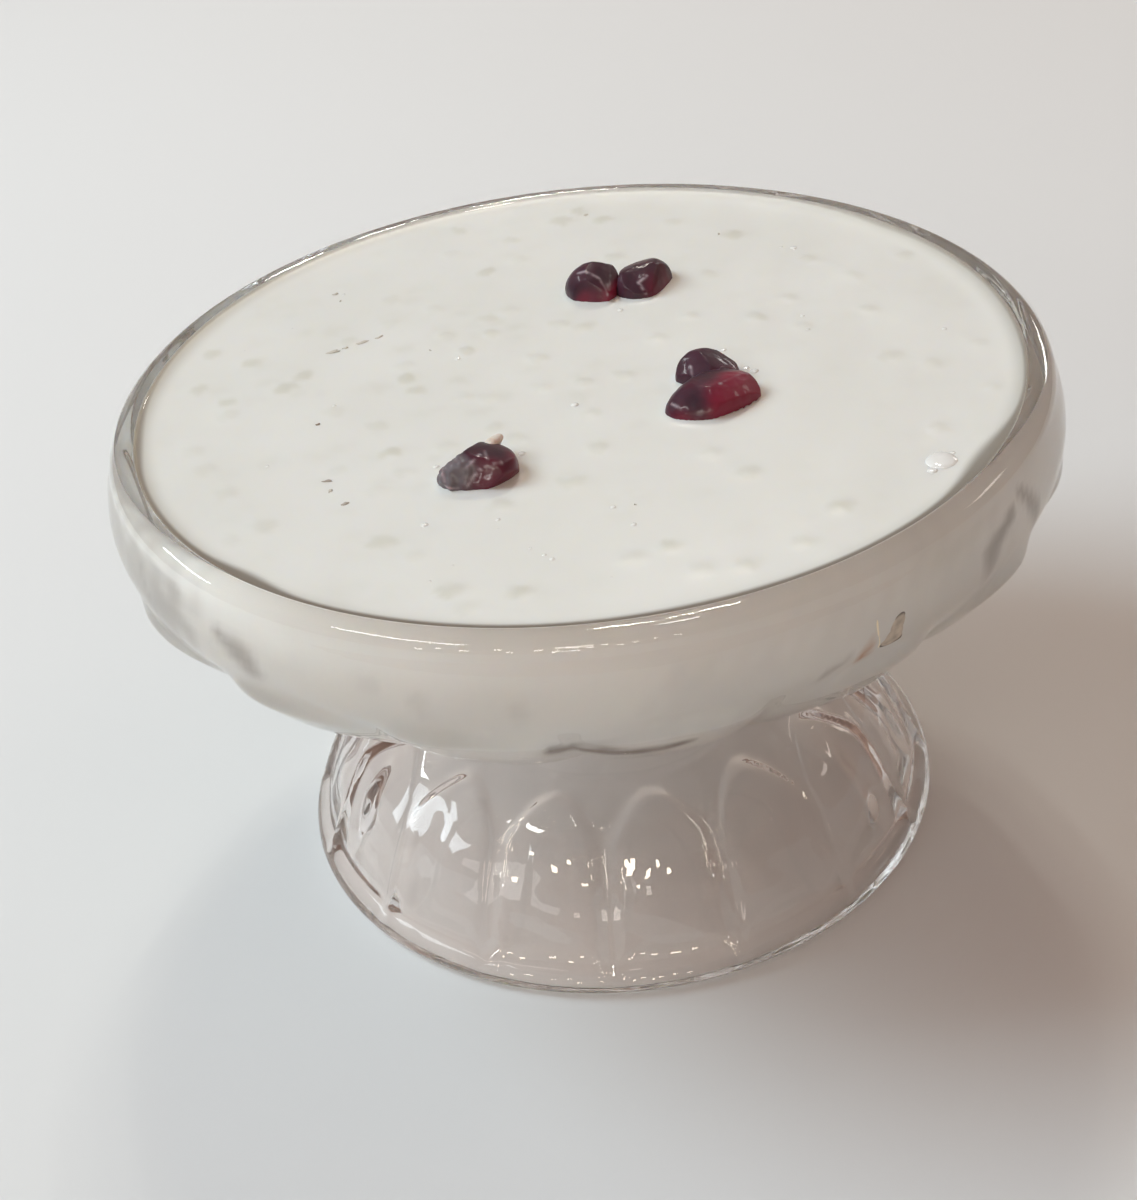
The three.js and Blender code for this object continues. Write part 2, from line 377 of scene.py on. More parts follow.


# Arils: middle in plan, length, width and thickness, height of the middle above the pudding, turn about Z,
# tip of the long axis, roll about it, how much one end narrows, how bright the painted red glow shows,
# as if lit through, and highlight streaks painted pale on the skin, each a line of points given as share
# of the half length and degrees round the long axis
arils = {
    "aril_1": {"at": (3.5, 22.3), "size": (7.2, 7.1, 6.3), "lift": 0.5, "turn": 169, "tip": 4, "roll": 8,
               "narrow": 0.2, "seed": 11, "paintedGlow": 0.9, "redFrom": 0.05, "dry": 0.0,
               "streaks": (((0.5, 60), (0.1, 57), (-0.4, 47), (-0.65, 8)),)},
    "aril_2": {"at": (10.2, 22.3), "size": (8.9, 6.1, 5.4), "lift": 0.5, "turn": 50, "tip": 2, "roll": 6,
               "narrow": 0.14, "seed": 23, "paintedGlow": 0.7, "redFrom": 0.1, "dry": 0.0,
               "streaks": (((-0.4, 119), (-0.7, 118), (-0.72, 158)),)},
    "aril_3": {"at": (15.6, -4.7), "size": (7.7, 5.9, 5.2), "lift": 0.5, "turn": -18, "tip": 2, "roll": 4,
               "narrow": 0.14, "seed": 37, "paintedGlow": 0.3, "redFrom": 0.0, "dry": 0.0,
               "streaks": (((-0.48, 120), (-0.3, 159)),)},
    "aril_4": {"at": (15.4, -10.9), "size": (11.8, 7.1, 5.6), "lift": 0.3, "turn": 22, "tip": 1, "roll": 0,
               "narrow": -0.19, "seed": 41, "paintedGlow": 1.0, "redFrom": -0.4, "dry": 0.1,
               "streaks": (((-0.86, 86), (-0.79, 132)), ((0.14, 110), (0.75, 84)),)},
    "aril_5": {"at": (-12, -21.6), "size": (9.2, 6.5, 5.6), "lift": 0.65, "turn": 196, "tip": 1, "roll": 21,
               "narrow": 0.18, "seed": 59, "paintedGlow": 0.5, "redFrom": -0.2, "dry": 1.0,
               "streaks": (
                   ((0.16, 38), (0.42, 25)), ((0.12, 14), (0.33, 2), (0.5, -19)), ((0.9, -20), (0.7, -24)),
                   ((0.88, 49), (0.9, 7)), ((0.06, 47), (-0.05, 49)), ((-0.25, 60), (-0.14, 33)),
                   ((-0.25, 19), (-0.45, 19)),
               )},
}
arilShape = {
    "flats": 7, "flatDepth": 0.76, "flatPress": 0.7, "flatStray": 0.6, "flatLean": 1.2, "widthKept": 0.86,
    "sides": 120, "rings": 80, "wrinkle": 0.16, "apart": 0.05, "streakWidth": 0.16, "streakRise": 0.07,
}
pudding = {
    "level": 63, "intoWall": 0.2, "meniscusRise": 0.4, "meniscusWidth": 1.1, "edgeLevel": 63.4,
    "brimRise": 0.47, "brimWidth": 3.0, "brimFade": 8.0, "fineEdge": 1.4, "fineStep": 0.1,
    "pearlCount": 84, "pearlRadius": 1.5, "pearlSizes": (0.85, 1.15), "pearlShow": 0.3, "pearlField": 50,
    "pearlSeed": 4127, "crowdedSpot": (-16, 4), "crowdedReach": 24.5, "sparseShare": 0.35,
    "pearlTall": 0.14, "arilRise": 0.35, "arilReach": 0.5, "arilOverlap": 1.3, "deepPearls": 230, "wallPearls": 46,
    "sides": 380, "topRings": 150, "wallSteps": 90,
    # Shady marks on the side: two ends, as azimuth and height, half width, and strength
    "wallMarks": (
        ((-47.5, 56.7), (-43, 55), 1.3, 0.6), ((-64.5, 57.2), (-61.8, 54.3), 0.8, 0.6),
        ((53.6, 57.2), (48, 55), 1.1, 0.65), ((56.1, 58.5), (59.6, 55), 0.9, 0.6),
        ((26.4, 53.3), (23.5, 52.4), 0.8, 0.45), ((-26, 57), (-26.4, 56.6), 1.1, 0.12), ((-21.3, 55), (-20.9, 55), 1.2, 0.13),
        ((-10.4, 54.7), (-10, 54.6), 1.1, 0.13), ((10.3, 52.7), (10.7, 52.6), 1.1, 0.13),
        ((-84, 57.5), (-58, 55), 4.5, 0.5), ((8, 53.5), (46, 53.5), 5.5, 0.14),
        ((-8.5, 48.1), (0, 47.4), 1.1, 1.15), ((8, 48.1), (0, 47.4), 1.1, 1.15),
        ((98, 57.5), (103, 55), 1.0, 0.2), ((143, 56.5), (148, 54.2), 1.1, 0.2), ((-117, 57), (-113, 54.5), 1.2, 0.2),
        ((-158, 57.4), (-161, 54), 0.9, 0.2),
    ),
    # A painted amber glow on the side beside the pocket of air, given like the marks, and how much wider the painted
    # shade line is at the front
    "amber": ((29.2, 53.9), (28.6, 52.3), 0.55, 0.85), "frontLine": 0.7,
    # Wider stretches of the painted shade line at the glass: azimuth, half width in degrees, and extra width
    "linePatches": ((-45, 6, 1.0), (-84, 9, 0.5), (56, 8, 1.5), (128, 8, 0.4)),
}


def placed(points, at, height, turn, tip, roll=0):
    steps = Matrix.Rotation(math.radians(turn), 3, "Z") @ Matrix.Rotation(math.radians(-tip), 3, "Y")
    steps = steps @ Matrix.Rotation(math.radians(roll), 3, "X")
    return points @ np.array(steps).T + (at[0], at[1], height)


def unitBall(sides, rings):
    # Ball of radius 1 whose poles lie on X
    lift = np.linspace(0, math.pi, rings + 1)[1:-1, None]
    around = np.arange(sides)[None, :] * 2 * math.pi / sides
    flat = np.sin(lift)
    ring = np.stack([np.cos(lift) + 0 * around, flat * np.cos(around), flat * np.sin(around)], 2).reshape(-1, 3)
    points = np.vstack([[1, 0, 0], ring, [-1, 0, 0]])
    return points, [face[::-1] for face in roundFaces(rings + 1, sides)]


def arilPoints(aril, ball):
    draw = draws(aril["seed"])
    spots = ball.copy()
    for number in range(arilShape["flats"]):
        around = 2 * math.pi * (number + arilShape["flatStray"] * next(draw)) / arilShape["flats"]
        along = arilShape["flatLean"] * (next(draw) - 0.5)
        flat = np.array([along, math.cos(around), math.sin(around)])
        flat /= np.linalg.norm(flat)
        past = spots @ flat - arilShape["flatDepth"]
        soft = np.where(past > 0, past, 0)  # the edges of a flat stay soft, because it gives way as it is pressed
        spots -= arilShape["flatPress"] * soft[:, None] * flat
    slim = 1 - aril["narrow"] * spots[:, 0]
    length, width, thickness = (size / 2 for size in aril["size"])
    kept = arilShape["widthKept"]
    return np.stack([spots[:, 0] * length, spots[:, 1] * slim * width / kept, spots[:, 2] * slim * thickness / kept], 1)


def streakShare(aril, ball, local):
    # How close each point of the skin is to a painted highlight streak
    half = np.array(aril["size"]) / 2
    share = np.zeros(len(ball))
    for line in aril["streaks"]:
        spots = []
        for along, around in line:
            flat, angle = math.sqrt(1 - along ** 2), math.radians(around)
            spots.append(np.array([along, flat * math.cos(angle), flat * math.sin(angle)]))
        for start, end in zip(spots, spots[1:]):
            reach = (end - start) * half
            way = np.clip(((ball - start) * half) @ reach / (reach @ reach), 0, 1)
            away = np.linalg.norm((ball - start) * half - way[:, None] * reach, axis=1)
            share = np.maximum(share, np.exp(-(away / arilShape["streakWidth"]) ** 2))
    return share * np.clip(0.75 + 0.6 * waveSum(local, aril["seed"] + 5, 1.1, 7), 0, 1)


def makeAril(name, aril, earlier):
    ball, faces = unitBall(arilShape["sides"], arilShape["rings"])
    local = arilPoints(aril, ball)
    # Pale streaks painted as highlights on the skin, each also raised a little as a ridge
    highlightStreak = streakShare(aril, ball, local)
    dry = aril["dry"] * smoothStep(0.4 * waveSum(local, aril["seed"], 7, 4) + ball[:, 0] * 1.4, 0.1, 0.75)
    ridges = 1 - np.abs(waveSum(local, aril["seed"] + 1, 2.6, 6))
    fine = waveSum(local, aril["seed"] + 2, 1.2, 8)
    outward = local / np.linalg.norm(local, axis=1)[:, None]
    raised = arilShape["wrinkle"] * dry * (ridges + 0.35 * fine) + 0.015 * fine + arilShape["streakRise"] * highlightStreak
    local = local + outward * raised[:, None]
    points = placed(local, aril["at"], pudding["level"] + aril["lift"], aril["turn"], aril["tip"], aril["roll"])
    for tree in earlier:  # what lies against an earlier aril is pressed back to its skin
        for index, point in enumerate(points):
            found, normal, number, distance = tree.find_nearest(Vector(point))
            depth = (Vector(point) - found).dot(normal)
            if depth < arilShape["apart"] and distance < 3:
                points[index] = found + normal * arilShape["apart"]
    piece = makePiece(name + "_skin", points, faces)
    # Painted light: the red shows brighter on the side away from the lamps, as if light came through the aril
    middle = np.array([aril["at"][0], aril["at"][1], pudding["level"] + aril["lift"]])
    lampSide = np.array([-0.62, 0.55, 0.45])
    away = -(points - middle) @ lampSide / (max(aril["size"]) / 2)
    uneven = 0.25 * waveSum(points, aril["seed"] + 3, 5, 5)
    paintedGlow = aril["paintedGlow"] * smoothStep(away + uneven, aril["redFrom"], aril["redFrom"] + 0.9)
    addMask(piece, "paintedRedGlow", paintedGlow)
    addMask(piece, "drySkin", dry)
    addMask(piece, "paintedHighlightStreak", highlightStreak)
    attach(piece, "root")
    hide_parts(name)
    return piece, BVHTree.FromPolygons(points.tolist(), faces)


def arilFinish():
    look = {
        "dark": (0.036, 0.012, 0.023, 1), "darkOther": (0.056, 0.017, 0.032, 1),
        "red": (0.21, 0.010, 0.036, 1), "dry": (0.165, 0.15, 0.16, 1), "highlightStreak": (0.40, 0.33, 0.36, 1),
        "roughness": 0.45, "dryRoughness": 0.52, "coatRoughness": 0.12,
    }
    material, tree, principled = newMaterial("arilSkin")
    paintedGlow = addNode(tree, "ShaderNodeAttribute", {"attribute_name": "paintedRedGlow"})
    dry = addNode(tree, "ShaderNodeAttribute", {"attribute_name": "drySkin"})
    tone = addGroup(tree, toneGroup, Tone=look["dark"], Other_Tone=look["darkOther"], Scale=400.0)
    # Painted light: a red glow as if lit through, and pale highlight streaks, are laid over the dark skin
    redMix = addNode(tree, "ShaderNodeMix", {"data_type": "RGBA"})
    redMix.inputs[7].default_value = look["red"]
    dryMix = addNode(tree, "ShaderNodeMix", {"data_type": "RGBA"})
    dryMix.inputs[7].default_value = look["dry"]
    dryShare = addNode(tree, "ShaderNodeMath", {"operation": "MULTIPLY"})
    dryShare.inputs[1].default_value = 0.75
    tree.links.new(paintedGlow.outputs["Fac"], redMix.inputs[0])
    tree.links.new(tone.outputs["Color"], redMix.inputs[6])
    tree.links.new(dry.outputs["Fac"], dryShare.inputs[0])
    tree.links.new(dryShare.outputs[0], dryMix.inputs[0])
    tree.links.new(redMix.outputs[2], dryMix.inputs[6])
    highlightStreak = addNode(tree, "ShaderNodeAttribute", {"attribute_name": "paintedHighlightStreak"})
    streakMix = addNode(tree, "ShaderNodeMix", {"data_type": "RGBA"})
    streakMix.inputs[7].default_value = look["highlightStreak"]
    tree.links.new(highlightStreak.outputs["Fac"], streakMix.inputs[0])
    tree.links.new(dryMix.outputs[2], streakMix.inputs[6])
    tree.links.new(streakMix.outputs[2], principled.inputs["Base Color"])
    rough = addNode(tree, "ShaderNodeMapRange", To_Min=look["roughness"], To_Max=look["dryRoughness"])
    tree.links.new(dry.outputs["Fac"], rough.inputs["Value"])
    tree.links.new(rough.outputs["Result"], principled.inputs["Roughness"])
    principled.inputs["Coat Weight"].default_value = 0.3
    principled.inputs["Specular IOR Level"].default_value = 0.2
    principled.inputs["Sheen Weight"].default_value = 0.03
    principled.inputs["Coat Roughness"].default_value = look["coatRoughness"]
    principled.inputs["Subsurface Weight"].default_value = 0.25
    principled.inputs["Subsurface Radius"].default_value = (1.0, 0.15, 0.12)
    principled.inputs["Subsurface Scale"].default_value = 2.0 * mm
    ripple = addGroup(tree, rippleGroup, Scale=700.0, Fine_Scale=2600.0, Fine_Share=0.3)
    addBump(tree, principled, ripple.outputs["Height"], 0.25, 0.12)
    return material


arilLook = arilFinish()
arilTrees = []
arilPieces = []
for arilName, arilValues in arils.items():
    arilPiece, arilTree = makeAril(arilName, arilValues, arilTrees)
    arilPiece.data.materials.append(arilLook)
    arilTrees.append(arilTree)
    arilPieces.append(arilPiece)
print("arils made")


# Pale stalk on the lone aril
stalk = {"at": (-10.2, -18.4), "lift": 2.3, "size": (4.2, 1.7, 1.2), "turn": 62, "tip": -4, "sides": 28, "rings": 30}


def makeStalk():
    ball, faces = unitBall(stalk["sides"], stalk["rings"])
    along = ball[:, 0]
    points = ball * (np.array(stalk["size"]) / 2)
    blunt = 1 + 0.35 * along ** 2 - 0.12 * along
    points[:, 1:] *= blunt[:, None]
    points += 0.05 * waveSum(points, 77, 1.6, 6)[:, None] * ball
    points = placed(points, stalk["at"], pudding["level"] + stalk["lift"], stalk["turn"], stalk["tip"])
    piece = makePiece("aril_5_stalk", points, faces)
    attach(piece, "root")
    return piece


def stalkFinish():
    material, tree, principled = newMaterial("paleStalk")
    tone = addGroup(tree, toneGroup, Tone=(0.72, 0.64, 0.56, 1), Other_Tone=(0.58, 0.44, 0.37, 1), Scale=900.0)
    tree.links.new(tone.outputs["Color"], principled.inputs["Base Color"])
    principled.inputs["Roughness"].default_value = 0.5
    principled.inputs["Subsurface Weight"].default_value = 0.3
    principled.inputs["Subsurface Scale"].default_value = 0.8 * mm
    ripple = addGroup(tree, rippleGroup, Scale=1500.0, Fine_Scale=5000.0, Fine_Share=0.4)
    addBump(tree, principled, ripple.outputs["Height"], 0.4, 0.15)
    return material


makeStalk().data.materials.append(stalkFinish())


# Pudding: its top carries the pearls, rises at the glass and round each aril, and dips under the arils
def pearlPlaces():
    draw = draws(pudding["pearlSeed"])
    field, radius = pudding["pearlField"], pudding["pearlRadius"]
    spotX, spotY = pudding["crowdedSpot"]
    small, large = pudding["pearlSizes"]
    places = []
    while len(places) < pudding["pearlCount"]:
        x = field * (2 * next(draw) - 1)
        y = field * (2 * next(draw) - 1)
        away = math.hypot(x - spotX, y - spotY) / pudding["crowdedReach"]
        wanted = pudding["sparseShare"] + (1 - pudding["sparseShare"]) * math.exp(-away ** 2)
        own = radius * (small + (large - small) * next(draw))
        kept = next(draw) < wanted
        inside = math.hypot(x, y) < field
        apart = all(math.hypot(other[0] - x, other[1] - y) > 2 * radius for other in places)
        clear = all(
            math.hypot(aril["at"][0] - x, aril["at"][1] - y) > aril["size"][0] / 2 + radius
            for aril in arils.values()
        )
        if kept and inside and apart and clear:
            places.append((x, y, own))
    return places


def topRelief(x, y):
    # Height above the level, and how much of a pearl shows through
    height = np.zeros_like(x)
    tone = np.zeros_like(x)
    draw = draws(909)
    flat = np.stack([x, y, 0 * x], 1)
    ragged = 0.22 * waveSum(flat, 717, 2.2, 8)
    for pearlX, pearlY, radius in pearlPlaces():
        away = np.hypot(x - pearlX, y - pearlY) / radius
        height += pudding["pearlTall"] * np.exp(-(away / 0.8) ** 2)
        tone = np.maximum(tone, (0.25 + 0.75 * next(draw) ** 1.5) * np.exp(-(away / 0.85 + ragged) ** 4))
    spotX, spotY = pudding["crowdedSpot"]
    for number in range(pudding["deepPearls"]):  # pearls that only shade the milk from below
        pearlX, pearlY = 52 * (2 * next(draw) - 1), 52 * (2 * next(draw) - 1)
        near = math.exp(-(math.hypot(pearlX - spotX, pearlY - spotY) / 26) ** 2)
        away = np.hypot((x - pearlX) * 0.8, y - pearlY) / (0.9 + 0.7 * next(draw))
        tone = np.maximum(tone, (0.10 + 0.42 * near * next(draw)) * np.exp(-(away + ragged) ** 2))
    height += 0.05 * waveSum(flat, 515, 14, 7)
    return height, tone


def arilRise(points, trees):
    # The pudding climbs a little at each aril and follows its underside below it
    heights = points[:, 2].copy()
    for aril, tree in zip(arils.values(), trees):
        reach = max(aril["size"]) / 2 + 3
        near = np.hypot(points[:, 0] - aril["at"][0], points[:, 1] - aril["at"][1]) < reach
        for index in np.nonzero(near)[0]:
            spot = Vector(points[index])
            found, normal, number, distance = tree.find_nearest(spot)
            inside = (spot - found).dot(normal) < 0
            rise = pudding["arilRise"] * math.exp(-(0 if inside else distance) / pudding["arilReach"])
            height = max(heights[index], points[index][2] + rise)
            low = spot.copy()
            low.z = pudding["level"] - 8
            under = tree.ray_cast(low, Vector((0, 0, 1)))[0]
            if inside and under is not None:
                height = min(height, under.z + pudding["arilOverlap"])
            heights[index] = height
    return heights


def wallShade(points, marks):
    shade = np.zeros(len(points))
    azimuth = np.degrees(np.arctan2(points[:, 0], -points[:, 1]))
    ragged = 0.25 * waveSum(points, 4411, 3.5, 7)
    for start, end, width, strength in marks:
        perDegree = math.radians(53)  # mm along the wall, where it is 53 mm from the axis
        reach = np.array([(end[0] - start[0]) * perDegree, end[1] - start[1]])
        place = np.stack([(azimuth - start[0]) * perDegree, points[:, 2] - start[1]], 1)
        way = np.clip(place @ reach / (reach @ reach), 0, 1)
        away = np.linalg.norm(place - way[:, None] * reach, axis=1) / (width * (0.7 + 0.5 * way))
        shade = np.maximum(shade, strength * np.exp(-np.maximum(away + ragged, 0) ** 2.5))
    return shade


def brimEdge(level):
    # Radius at which the pudding meets the round lip at this level
    half = bowl["lipThickness"] / 2
    lift = level - (bowl["height"] - half)
    return bowl["rimRadius"] - half - np.sqrt(half ** 2 - lift ** 2) + pudding["intoWall"]


def makePudding():
    wall = smoothLine(bowl["innerWall"], pudding["wallSteps"])[::-1]
    along = np.gradient(wall, axis=0)
    along /= np.linalg.norm(along, axis=1)[:, None]
    under = wall + np.stack([along[:, 1], -along[:, 0]], 1) * pudding["intoWall"]
    under[0, 0] = 0
    edge = brimEdge(pudding["edgeLevel"])
    fine = np.arange(0, pudding["fineEdge"], pudding["fineStep"])
    radius = edge - np.concatenate([fine, np.linspace(pudding["fineEdge"], edge, pudding["topRings"])])
    rise = pudding["meniscusRise"] * np.exp(-(edge - radius) / pudding["meniscusWidth"])
    top = np.stack([radius, pudding["level"] + rise], 1)
    profile = np.vstack([under, top])

    def brim(azimuth):
        # The far side is filled nearly to the top of the lip
        return pudding["brimRise"] * ((1 - np.cos(azimuth)) / 2) ** 1.5

    def moved(azimuth):
        outwards = brimEdge(pudding["edgeLevel"] + brim(azimuth)) - edge
        fade = smoothStep(radius[:-1], edge - pudding["brimFade"], edge)
        return np.vstack([np.zeros((len(under) - 1, len(azimuth))), fade[:, None] * outwards])

    sides = pudding["sides"]
    points = roundPoints(profile, sides, 0.0, moved)
    firstTop = 1 + (len(under) - 1) * sides
    onTop = np.arange(len(points)) >= firstTop
    fromEdge = edge - np.append(np.repeat(radius[:-1], sides), 0)
    azimuth = np.arctan2(points[onTop, 0], -points[onTop, 1])
    points[onTop, 2] += brim(azimuth) * np.exp(-fromEdge / pudding["brimWidth"])
    x, y = points[onTop, 0], points[onTop, 1]
    height, tone = topRelief(x, y)
    calm = smoothStep(fromEdge, 1, 4)
    points[onTop, 2] += height * calm
    points[onTop, 2] = arilRise(points[onTop], arilTrees)
    mask = np.zeros(len(points))
    mask[onTop] = tone
    # Painted shade: the milk greys towards the glass, most at the left and right
    edgeShade = np.zeros(len(points))
    edgeShade[onTop] = (0.35 + 0.65 * np.sin(azimuth) ** 2) * (1 - smoothStep(fromEdge, 0.2, 3.0)) ** 1.5
    # Painted shade in a dark line where the milk meets the glass, wider at the front and in patches
    line = np.zeros(len(points))
    lineWidth = 0.55 + 0.12 * np.sin(7 * azimuth) * np.sin(3 * azimuth + 1)
    lineWidth += pudding["frontLine"] * np.maximum(np.cos(azimuth), 0) ** 1.5
    for middle, spread, extra in pudding["linePatches"]:
        lineWidth += extra * np.exp(-((np.degrees(azimuth) - middle) / spread) ** 2)
    line[onTop] = (1 - smoothStep(fromEdge, 0.6 * lineWidth, 1.3 * lineWidth)) * (0.6 + 0.4 * np.cos(azimuth))
    draw = draws(3301)
    for number in range(pudding["wallPearls"]):  # pearls lying against the glass
        azimuth = 2 * math.pi * next(draw)
        row = under[int(len(under) * (0.25 + 0.7 * next(draw)))]
        spot = np.array([row[0] * math.sin(azimuth), -row[0] * math.cos(azimuth), row[1]])
        away = np.linalg.norm(points[~onTop] - spot, axis=1) / (1.3 + 0.5 * next(draw))
        mask[~onTop] = np.maximum(mask[~onTop], (0.2 + 0.5 * next(draw)) * np.exp(-away ** 4))
    piece = makePiece("puddingBody", points, roundFaces(len(profile), sides))
    addMask(piece, "pearlTone", mask)
    addMask(piece, "paintedEdgeShade", edgeShade)
    addMask(piece, "paintedContactShade", line)
    shade = np.zeros(len(points))
    shade[~onTop] = wallShade(points[~onTop], pudding["wallMarks"])
    addMask(piece, "wallShade", shade)
    # A painted amber glow on the side beside the pocket of air
    amber = np.zeros(len(points))
    amber[~onTop] = wallShade(points[~onTop], (pudding["amber"],))
    addMask(piece, "paintedAmberGlow", amber)
    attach(piece, "root")
    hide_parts("pudding")
    return piece


def puddingFinish():
    look = {
        "milk": (0.742, 0.745, 0.708, 1), "milkOther": (0.722, 0.725, 0.684, 1), "pearl": (0.53, 0.52, 0.43, 1),
        "edge": (0.40, 0.39, 0.35, 1), "line": (0.11, 0.08, 0.05, 1), "shade": (0.12, 0.085, 0.06, 1),
        "amber": (0.42, 0.20, 0.08, 1),
        "roughness": 0.36, "deep": 2.2,
    }
    material, tree, principled = newMaterial("milkPudding")
    tone = addGroup(tree, toneGroup, Tone=look["milk"], Other_Tone=look["milkOther"], Scale=70.0)
    color = tone.outputs["Color"]
    # Over the milk and its pearls lie painted shade at the edge, along the glass and in the marks on the side, and a
    # painted amber glow
    layers = (("pearlTone", "pearl", 0.55), ("paintedEdgeShade", "edge", 0.8), ("paintedContactShade", "line", 0.85),
              ("wallShade", "shade", 0.86), ("paintedAmberGlow", "amber", 1.0))
    for mask, shade, strength in layers:
        color = addLayer(tree, color, mask, look[shade], strength)
    tree.links.new(color, principled.inputs["Base Color"])
    principled.inputs["Roughness"].default_value = look["roughness"]
    principled.inputs["Subsurface Weight"].default_value = 0.35
    principled.inputs["Subsurface Radius"].default_value = (1.0, 0.8, 0.55)
    principled.inputs["Subsurface Scale"].default_value = look["deep"] * mm
    ripple = addGroup(tree, rippleGroup, Scale=160.0, Fine_Scale=900.0, Fine_Share=0.15)
    addBump(tree, principled, ripple.outputs["Height"], 0.18, 0.25)
    return material


puddingPiece = makePudding()
puddingPiece.data.materials.append(puddingFinish())
print("pudding made")


# Small things on the pudding: beads of milk with one bubble, and specks of husk
small = {
    # Middle in plan and radius
    "beads": (
        (-14.3, 7.8, 0.32), (-0.5, -7.4, 0.40), (-18.1, -30.4, 0.36), (2.4, -31.2, 0.30), (18.2, 2.0, 0.34),
        (21.2, -4.2, 0.42), (20.3, -3.2, 0.36), (-7.1, -17.4, 0.40), (-16.9, -18.2, 0.34), (6.6, 16.2, 0.34),
        (30.6, 28.6, 0.38), (37.0, -31.2, 0.45), (39.8, -28.0, 0.32),
    ),
    "moreBeads": 18, "field": 48, "beadTall": 0.5, "bubble": (38.4, -29.3, 1.7), "bubbleTall": 0.25,
    # Middle in plan, length, width, turn, and how faint it is
    "specks": (
        (-31.1, -5.1, 0.6, 0.42, 20, 0.1), (-29.4, -18.5, 1.2, 0.4, -4, 0.4), (-27.1, -24.1, 0.9, 0.5, 30, 0.5),
        (-28.9, -20.8, 0.8, 0.4, 60, 0.8), (-26.6, 15.6, 1.5, 0.5, 24, 0.86), (-30.3, 13.9, 1.7, 0.7, 18, 0.86),
        (-28.7, 14.6, 0.8, 0.4, 10, 0.88), (-24.4, 16.5, 1.0, 0.4, 28, 0.9),
    ),
    "moreSpecks": 6, "speckThick": 0.16, "seed": 6211,
}


def surfaceHeight(x, y):
    found, place = puddingPiece.ray_cast(Vector((x, y, 90)) * mm, Vector((0, 0, -1)))[:2]
    return place.z / mm if found else pudding["level"]


def joinShapes(shapes):
    points, faces, first = [], [], 0
    for ownPoints, ownFaces in shapes:
        points.append(ownPoints)
        faces += [tuple(first + corner for corner in face) for face in ownFaces]
        first += len(ownPoints)
    return np.vstack(points), faces


def clearSpot(draw, margin):
    # A drawn place on the pudding that keeps clear of the arils
    while True:
        x, y = small["field"] * (2 * next(draw) - 1), small["field"] * (2 * next(draw) - 1)
        away = [math.hypot(a["at"][0] - x, a["at"][1] - y) - a["size"][0] / 2 for a in arils.values()]
        if math.hypot(x, y) < small["field"] and min(away) > margin:
            return x, y


def makeBeads():
    draw = draws(small["seed"])
    places = list(small["beads"])
    for number in range(small["moreBeads"]):
        places.append(clearSpot(draw, 2) + (0.16 + 0.14 * next(draw),))
    shapes = []
    ball, faces = unitBall(22, 16)
    for x, y, radius in places:
        points = ball * 1.25 * radius * (1, 1, small["beadTall"]) * (1 + 0.06 * waveSum(ball * 2 + x, 31, 2, 5))[:, None]
        shapes.append((points + (x, y, surfaceHeight(x, y) - 0.08), faces))
    x, y, radius = small["bubble"]
    ball, faces = unitBall(48, 32)
    points = ball * radius * (1.0, 1.1, small["bubbleTall"]) * (1 + 0.03 * waveSum(ball * 2, 57, 2, 5))[:, None]
    shapes.append((points + (x, y, surfaceHeight(x, y) - 0.06), faces))
    piece = makePiece("milkBeads", *joinShapes(shapes))
    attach(piece, "root")
    return piece


def beadFinish():
    material, tree, principled = newMaterial("wetMilkPaintedGlint")
    # Painted glint: the beads are lighter than the milk, so they show as small bright sparkles
    tone = addGroup(tree, toneGroup, Tone=(0.84, 0.84, 0.81, 1), Other_Tone=(0.80, 0.80, 0.77, 1), Scale=300.0)
    tree.links.new(tone.outputs["Color"], principled.inputs["Base Color"])
    principled.inputs["Roughness"].default_value = 0.15
    principled.inputs["Coat Weight"].default_value = 0.5
    principled.inputs["Coat Roughness"].default_value = 0.03
    ripple = addGroup(tree, rippleGroup, Scale=900.0, Fine_Scale=3000.0, Fine_Share=0.2)
    addBump(tree, principled, ripple.outputs["Height"], 0.1, 0.06)
    return material


def makeSpecks():
    draw = draws(small["seed"] + 1)
    flakes = list(small["specks"])
    for number in range(small["moreSpecks"]):
        length = 0.3 + 0.5 * next(draw) ** 2
        shape = (length, length * (0.35 + 0.4 * next(draw)), 180 * next(draw), 0.5 + 0.4 * next(draw))
        flakes.append(clearSpot(draw, 1) + shape)
    shapes, faint = [], []
    ball, faces = unitBall(16, 18)
    for x, y, length, width, turn, faintness in flakes:
        uneven = 1 + 0.22 * waveSum(ball + x, 83, 1.3, 6)
        points = ball * (length / 2, width / 2, small["speckThick"] / 2) * uneven[:, None]
        points[:, 2] += 0.04 * np.sin(ball[:, 0] * 4)
        shapes.append((placed(points, (x, y), surfaceHeight(x, y) + 0.02, turn, 0), faces))
        faint += [faintness] * len(points)
    piece = makePiece("huskSpecks", *joinShapes(shapes))
    addMask(piece, "faint", faint)
    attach(piece, "root")
    return piece


def speckFinish():
    material, tree, principled = newMaterial("huskBrown")
    tone = addGroup(tree, toneGroup, Tone=(0.13, 0.085, 0.06, 1), Other_Tone=(0.26, 0.18, 0.12, 1), Scale=1800.0)
    color = addLayer(tree, tone.outputs["Color"], "faint", (0.62, 0.59, 0.52, 1), 1.0)
    tree.links.new(color, principled.inputs["Base Color"])
    principled.inputs["Roughness"].default_value = 0.5
    ripple = addGroup(tree, rippleGroup, Scale=3000.0, Fine_Scale=9000.0, Fine_Share=0.4)
    addBump(tree, principled, ripple.outputs["Height"], 0.4, 0.05)
    return material


bpy.context.view_layer.update()
makeBeads().data.materials.append(beadFinish())
makeSpecks().data.materials.append(speckFinish())


